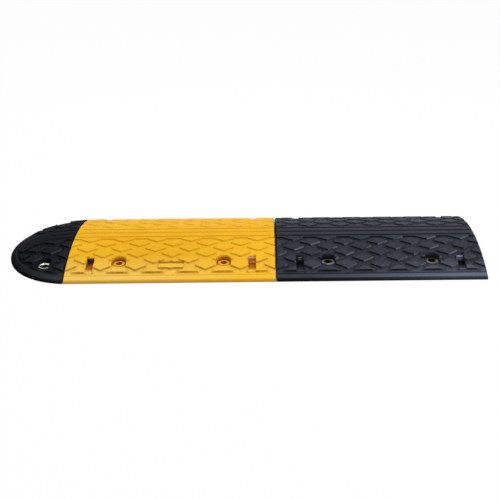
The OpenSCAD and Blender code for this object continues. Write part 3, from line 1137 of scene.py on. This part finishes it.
def yellow_rubber():
    """Pigmented rubber: mottled, paler in the channels low down, with painted light low on the slope and
    on uphill walls, and painted shade on downhill walls, their feet, the pad, the step, the grooves, the
    hem and in sunk places.
    """
    paint = Paint("yellow_rubber", 0.5, Specular_IOR_Level=0.05)
    coat, mark, noise, span, times = paint.coat, paint.mark, paint.noise, paint.span, paint.times
    blotch, fine = noise(34.0, 5.0, 0.62), noise(420.0, 4.0, 0.6)
    drawn = noise(30.0, 4.0, 0.6, paint.stretched(0.25, 3.0, 1.0))
    low = mark("low")
    broad = span(noise(6.0, 3.0), 0.35, 0.66)
    paint.colour = paint.mix(broad, (0.80, 0.42, 0.009), (0.87, 0.475, 0.017))
    coat(span(blotch, 0.5, 0.75, 0.0, 0.5), (0.75, 0.43, 0.006))
    coat(span(drawn, 0.42, 0.62, 0.0, 0.35), (0.80, 0.37, 0.008))
    paling = times(low, span(blotch, 0.35, 0.6, 0.15, 0.75), paint.less(mark("raised")))
    coat(paling, (0.97, 0.60, 0.10))
    coat(mark("lit", span(fine, 0.3, 0.6, 0.2, 0.8)), (1.0, 0.66, 0.12))
    # the toe is paler towards the end cap
    pale = paint.mix(span(paint.axes()["X"], -0.30, 0.0), (0.97, 0.62, 0.115), (0.95, 0.52, 0.025))
    coat(mark("toe", 0.65), pale)
    # painted shade along the step at the toe
    coat(mark("step", 0.35), (0.62, 0.27, 0.01))
    # painted light: paler low on the slope
    coat(times(low, 0.6), pale)
    # painted shade on downhill walls and at their feet, deeper low down and on walls that face straight
    # downhill
    straight = paint.less(paint.math("ABSOLUTE", mark("facing")))
    depth = paint.largest(span(low, 0.0, 0.8, 0.12, 0.62), times(low, straight, 0.75))
    wall_shade = mark("shaded", depth, span(noise(60.0, 4.0), 0.35, 0.6, 0.5, 1.0))
    coat(wall_shade, (0.31, 0.13, 0.003))
    coat(mark("foot", depth, 0.55), (0.36, 0.16, 0.005))
    # painted shade on the pad's walls, in the grooves, in sunk places and on the hem
    coat(mark("pad", 0.6), (0.30, 0.13, 0.004))
    coat(mark("groove", 0.22), (0.50, 0.20, 0.004))
    coat(span(mark("sunk"), 0.08, 0.75, 0.0, 0.88), (0.36, 0.088, 0.006))
    coat(times(paint.hem(), 0.4), (0.50, 0.20, 0.010))
    grain = paint.math("ADD", fine, times(noise(1500.0, 2.0), 0.5))
    rough = span(blotch, 0.3, 0.7, 0.42, 0.6)
    return paint.finish(rough, (grain, 0.00025, 0.55), (blotch, 0.0008, 0.35))


def black_rubber(name, base, pale, toe, step, glint, specular, paling_x, paling):
    """Recycled black rubber with pale grey blotches, painted highlights on walls and top edges that face
    +X, and painted shade on walls, feet, hems, grooves and sunk places. A painted light grows between the
    two places in paling_x, along X in metres, to the share paling; toe gives the toe's painted sheen
    colours at these places."""
    paint = Paint(name, 0.5, Specular_IOR_Level=specular)
    coat, mark, noise, span, times = paint.coat, paint.mark, paint.noise, paint.span, paint.times
    shade_black = (0.002, 0.002, 0.003)
    blotch, fine = noise(42.0, 5.0, 0.62), noise(520.0, 4.0, 0.65)
    drawn = noise(9.0, 4.0, 0.55, paint.stretched(0.4, 3.0, 1.0))
    low, shaded = mark("low"), mark("shaded")
    right = span(mark("facing"), 0.3, 1.0)
    along = span(paint.axes()["X"], *paling_x)
    darker, lighter = [tuple(f * c for c in base) for f in (0.75, 1.3)]
    paint.colour = paint.mix(span(noise(7.0, 3.0), 0.35, 0.68), darker, lighter)
    coat(span(blotch, 0.46, 0.72, 0.0, 0.55), pale)
    coat(span(noise(130.0, 3.0, 0.6), 0.42, 0.62, 0.4, 0.0), darker)
    coat(span(noise(190.0, 3.0, 0.6), 0.56, 0.7, 0.0, 0.5), pale)
    on_top = span(mark("raised"), 0.0, 1.0, 0.35, 1.0)
    coat(times(low, on_top, span(blotch, 0.36, 0.62, 0.1, 0.9)), pale)
    # painted light: paler towards +X
    coat(times(along, paling), pale)
    # painted shade: darker towards -X on the front slope and the crown
    front = span(paint.axes()["Y"], 0.07, 0.03)
    coat(times(paint.less(along), front, 0.22), (0.0, 0.0, 0.0))
    # painted sheen: the toe band, and the low tread near it, grow paler along X
    band = paint.mix(along, *toe)
    coat(times(span(low, 0.6, 1.0), along, 0.4), band)
    band = paint.mix(span(drawn, 0.42, 0.66, 0.0, 0.3), band, pale)
    coat(mark("toe", 0.9), band)
    # painted shade along the step at the toe of a module, and a painted highlight along it on the end cap
    coat(mark("step", 0.7), step)
    # painted shade in the grooves
    coat(mark("groove", 0.85), (0.004, 0.004, 0.006))
    # painted shade on walls and feet, less where they face +X, and painted highlights on the walls and top
    # edges that face +X
    lifted = paint.less(times(right, span(low, 0.4, 1.0, 0.85, 0.3)))
    foot = mark("foot", span(right, 0.0, 1.0, 0.8, 0.15))
    coat(times(paint.largest(times(shaded, lifted), foot), 0.9), shade_black)
    patch = span(noise(20.0, 3.0), 0.46, 0.56)
    coat(times(shaded, right, patch, span(low, 0.2, 0.9, 1.0, 0.5)), glint)
    coat(mark("rim", right, span(fine, 0.42, 0.66, 0.1, 0.6)), glint)
    # painted shade in sunk places and on the hem, lighter along X
    coat(mark("sunk", 0.97), (0.0015, 0.0015, 0.0015))
    coat(times(paint.hem(), span(along, 0.0, 1.0, 0.95, 0.7)), shade_black)
    grain = paint.math("ADD", fine, times(noise(1700.0, 2.0), 0.5))
    rough = span(blotch, 0.3, 0.7, 0.38, 0.56)
    return paint.finish(rough, (grain, 0.0003, 0.6), (blotch, 0.001, 0.4))


def plated_steel(name, bright, dull, roughness, wide):
    """Zinc plate with turned marks and stains, and painted shade in and round its bore and at its rim."""
    paint = Paint(name, roughness, Metallic=1.0)
    stain = paint.noise(110.0, 5.0, 0.65)
    marks = paint.noise(900.0, 3.0, 0.6, paint.stretched(1.0, 0.25, 1.0))
    paint.colour = paint.mix(paint.span(stain, 0.42, 0.6), bright, dull)
    paint.coat(paint.times(paint.bore(wide, 0.8), 0.93), (0.006, 0.005, 0.005))
    rough = paint.span(marks, 0.3, 0.7, roughness - 0.08, roughness + 0.12)
    return paint.finish(rough, (marks, 0.00005, 0.5))


def coated_steel():
    """Steel under the module's own yellow, rubbed thin in places, with brown painted shade in its bore."""
    paint = Paint("coated_steel", 0.5, Specular_IOR_Level=0.08)
    rub = paint.noise(260.0, 5.0, 0.65)
    paint.colour = paint.mix(paint.span(rub, 0.35, 0.6), (0.84, 0.43, 0.03), (0.76, 0.34, 0.02))
    paint.coat(paint.span(rub, 0.66, 0.74, 0.0, 0.6), (0.40, 0.22, 0.08))
    paint.coat(paint.times(paint.bore(0.06, 0.0), 0.95), (0.14, 0.035, 0.002))
    return paint.finish(paint.span(rub, 0.3, 0.7, 0.4, 0.6), (rub, 0.0001, 0.5))


def moulded_plastic(name, head, middle, foot, spot=0.0, fade=(0.05, 0.5)):
    """Reflector plastic: a pale bevel as a painted highlight, a dark middle, a foot with a painted
    reflection of what lies before it, and a painted highlight spot. The foot fades into the middle between
    the two shares of the height in fade."""
    paint = Paint(name, 0.3, Specular_IOR_Level=0.18)
    haze = paint.noise(350.0, 4.0, 0.6)
    rise = paint.math("ADD", paint.mark("rise"), paint.times(paint.math("SUBTRACT", haze, 0.5), 0.3))
    paint.colour = paint.mix(paint.span(rise, *fade), foot, middle)
    paint.coat(paint.span(rise, 0.80, 0.9), head)
    paint.coat(paint.mark("glint", spot), (0.80, 0.80, 0.78))
    return paint.finish(paint.span(haze, 0.3, 0.7, 0.21, 0.42), (haze, 0.00006, 0.4))


def reflector_plastics(name, housing, lens, **look):
    """Housing and lens, each from the colours of its head, middle and foot, and its spot."""
    return [moulded_plastic(name + part, *colours, **look)
            for part, colours in (("_housing", housing), ("_lens", lens))]


# ---- the part ----

black = black_rubber(
    "black_rubber", base=(0.021, 0.025, 0.037), pale=(0.056, 0.063, 0.086),
    toe=((0.033, 0.037, 0.050), (0.125, 0.14, 0.195)), step=(0.012, 0.014, 0.018),
    glint=(0.13, 0.145, 0.18), specular=0.05, paling_x=(0.16, 0.50), paling=0.08)
cap_black = black_rubber(
    "cap_rubber", base=(0.0085, 0.009, 0.012), pale=(0.026, 0.028, 0.035),
    toe=((0.006, 0.0065, 0.008), (0.042, 0.045, 0.053)), step=(0.036, 0.038, 0.044),
    glint=(0.07, 0.075, 0.085), specular=0.002, paling_x=(-0.54, -0.43), paling=0.45)
bodies = {
    "end_cap": (Cap(CAP_WASHER_D), CAP_FACE, "black_rubber", cap_black),
    "yellow_module": (Module(YELLOW_WASHER_D, True), YELLOW_X, "yellow_rubber", yellow_rubber()),
    "black_module": (Module(BLACK_WASHER_D, False), BLACK_X, "black_rubber", black),
}
for node, (form, x, slot, paint) in bodies.items():
    piece = body(form).finish(node + "_rubber", Matrix.Translation((x * MM, 0, 0)))
    mark_surface(piece, form, x)
    dress(piece, node, slot, [paint])

bright = plated_steel("bright_steel", (0.86, 0.86, 0.85), (0.62, 0.61, 0.60), 0.26, 0.3)
dull = plated_steel("dull_steel", (0.24, 0.225, 0.21), (0.075, 0.069, 0.065), 0.42, 0.24)
# painted shade: a darker copy of the plated steel, for the washers in the rear pockets
shadowed = plated_steel("shadowed_steel", (0.045, 0.045, 0.045), (0.02, 0.02, 0.02), 0.50, 0.2)
coated = coated_steel()
washer("cap_washer_front", "bright_steel", bright, CAP_DISH)
washer("cap_washer_rear", "bright_steel", shadowed, CAP_DISH)

# head, middle and foot colours of housing and lens: the head a painted highlight, the foot a painted
# reflection; a lens's fourth number is the strength of its painted highlight spot
amber = reflector_plastics(
    "amber", ((0.60, 0.42, 0.32), (0.30, 0.09, 0.02), (1.0, 0.58, 0.12)),
    ((0.50, 0.30, 0.20), (0.30, 0.09, 0.02), (1.0, 0.58, 0.12)), fade=(0.35, 0.85))
brown = reflector_plastics(
    "brown", ((0.06, 0.022, 0.004), (0.022, 0.008, 0.002), (0.45, 0.19, 0.02)),
    ((0.03, 0.010, 0.002), (0.020, 0.007, 0.002), (0.34, 0.13, 0.015), 0.15))
smoky = reflector_plastics(
    "smoky", ((0.012, 0.012, 0.013), (0.008, 0.008, 0.009), (0.015, 0.014, 0.012)),
    ((0.02, 0.02, 0.02), (0.012, 0.012, 0.012), (0.025, 0.022, 0.018), 0.9))
clear = reflector_plastics(
    "clear", ((0.20, 0.21, 0.34), (0.10, 0.105, 0.18), (0.05, 0.05, 0.07)),
    ((0.30, 0.32, 0.50), (0.22, 0.235, 0.38), (0.10, 0.105, 0.16), 0.4))
for corner in ("front_left", "front_right", "rear_left", "rear_right"):
    left, front = corner.endswith("left"), corner.startswith("front")
    washer("yellow_washer_" + corner, "coated_steel", coated)
    washer("black_washer_" + corner, "dull_steel", dull if front else shadowed)
    reflector("yellow_reflector_" + corner, "amber_reflector", brown if left else amber)
    reflector("black_reflector_" + corner, "clear_reflector", smoky if left else clear)


# ---- floor, light and camera ----

WHITE = (1, 1, 1, 1)
FLOOR_HALF = 6.0
FLOOR_WHITE = 0.92              # share of the floor's look that takes no shadow
FLOOR_GLOW = 1.03               # makes up for the darker rest, so that the open floor comes out white
MOUTH_HALF = (0.002, 0.0024)    # the painted shadow on the floor behind the joint ends between these distances from it
MOUTH_LEN = 0.016
SKY = (0.30, 0.92)              # light from the horizon and from the zenith
CAMERA_AT = Vector((0.0568, -1.8012, 0.8769))
CAMERA_TURN = (0.976, 63.989, -0.154)   # to the right, up from straight down, and round its own axis
CAMERA_LENS = 56.70
CAMERA_SHIFT = -0.0552          # the photograph was cropped off centre


def clear_of_bump(paint):
    """FLOOR_WHITE on the open floor, and 0 under the modules and at the rear mouth of the joint between
    them, which leaves a painted shadow on the floor there, so that no white shows through the joints."""
    def from_line(value, at):
        return paint.math("ABSOLUTE", paint.math("SUBTRACT", value, at))

    x, y, _ = paint.axes()
    middle, half = (YELLOW_START + BLACK_END) / 2 * MM, (BLACK_END - YELLOW_START) / 2 * MM
    joint = (YELLOW_X + BLACK_X) / 2 * MM
    mouth = paint.span(from_line(x, joint), *MOUTH_HALF, MOUTH_LEN, 0.0)
    beyond = paint.largest(paint.less(half, from_line(x, middle)), paint.less(y, -HALF_W * MM),
                           paint.less(mouth, paint.less(HALF_W * MM, y)))
    near = paint.node("AmbientOcclusion", Distance=0.06).outputs["AO"]
    return paint.times(paint.span(beyond, -0.001, 0.0), paint.span(near, 0.0, 0.35, 0.0, FLOOR_WHITE))


def pale_floor():
    """A wide floor that looks white and keeps a soft shadow."""
    bm = bmesh.new()
    bmesh.ops.create_grid(bm, x_segments=1, y_segments=1, size=FLOOR_HALF)
    floor = add_object("floor", mesh_from(bm, "floor"))
    paint = Paint("floor", 0.9, Specular_IOR_Level=0.0, Base_Color=(0.6, 0.6, 0.61, 1))
    glow = paint.node("Emission", Strength=FLOOR_GLOW)
    share = paint.times(paint.seen_directly(), clear_of_bump(paint))
    paint.show("Material Output", share, paint.shader, glow)
    floor.data.materials.append(paint.material)


def white_world():
    """Soft light that grows from the horizon to the zenith, before a white backdrop."""
    world = bpy.data.worlds.new("studio")
    bpy.context.scene.world = world
    world.use_nodes = True
    sky = Nodes(world.node_tree, "Generated")
    light, white = world.node_tree.nodes["Background"], sky.node("Background", Color=WHITE)
    sky.feed(light.inputs["Color"], WHITE)
    sky.feed(light.inputs["Strength"], sky.span(sky.axes()["Z"], 0.0, 1.0, *SKY))
    sky.show("World Output", sky.seen_directly(), light, white)


def soft_box(name, at, size, power):
    """A lamp that faces the middle of the bump."""
    light = bpy.data.lights.new(name, "AREA")
    light.shape = "RECTANGLE"
    light.size, light.size_y = size
    light.energy = power
    obj = add_object(name, light)
    obj.location = at
    obj.rotation_euler = (-Vector(at)).to_track_quat("-Z", "Y").to_euler()


def fitted_camera():
    """Camera at the photograph's viewing angle."""
    data = bpy.data.cameras.new("camera")
    data.sensor_width = 36.0
    data.lens = CAMERA_LENS
    data.shift_x = CAMERA_SHIFT
    data.clip_end = 50.0
    yaw, tilt, roll = (radians(a) for a in CAMERA_TURN)
    camera = add_object("camera", data)
    camera.matrix_world = (Matrix.Translation(CAMERA_AT) @ Matrix.Rotation(-yaw, 4, "Z")
                           @ Matrix.Rotation(tilt, 4, "X") @ Matrix.Rotation(roll, 4, "Z"))
    bpy.context.scene.camera = camera


pale_floor()
white_world()
soft_box("overhead", (0.3, 0.7, 1.7), (1.8, 0.9), 15.0)
soft_box("side", (1.7, -1.3, 0.9), (0.5, 0.5), 9.0)
fitted_camera()
bpy.context.scene.view_settings.view_transform = "Standard"
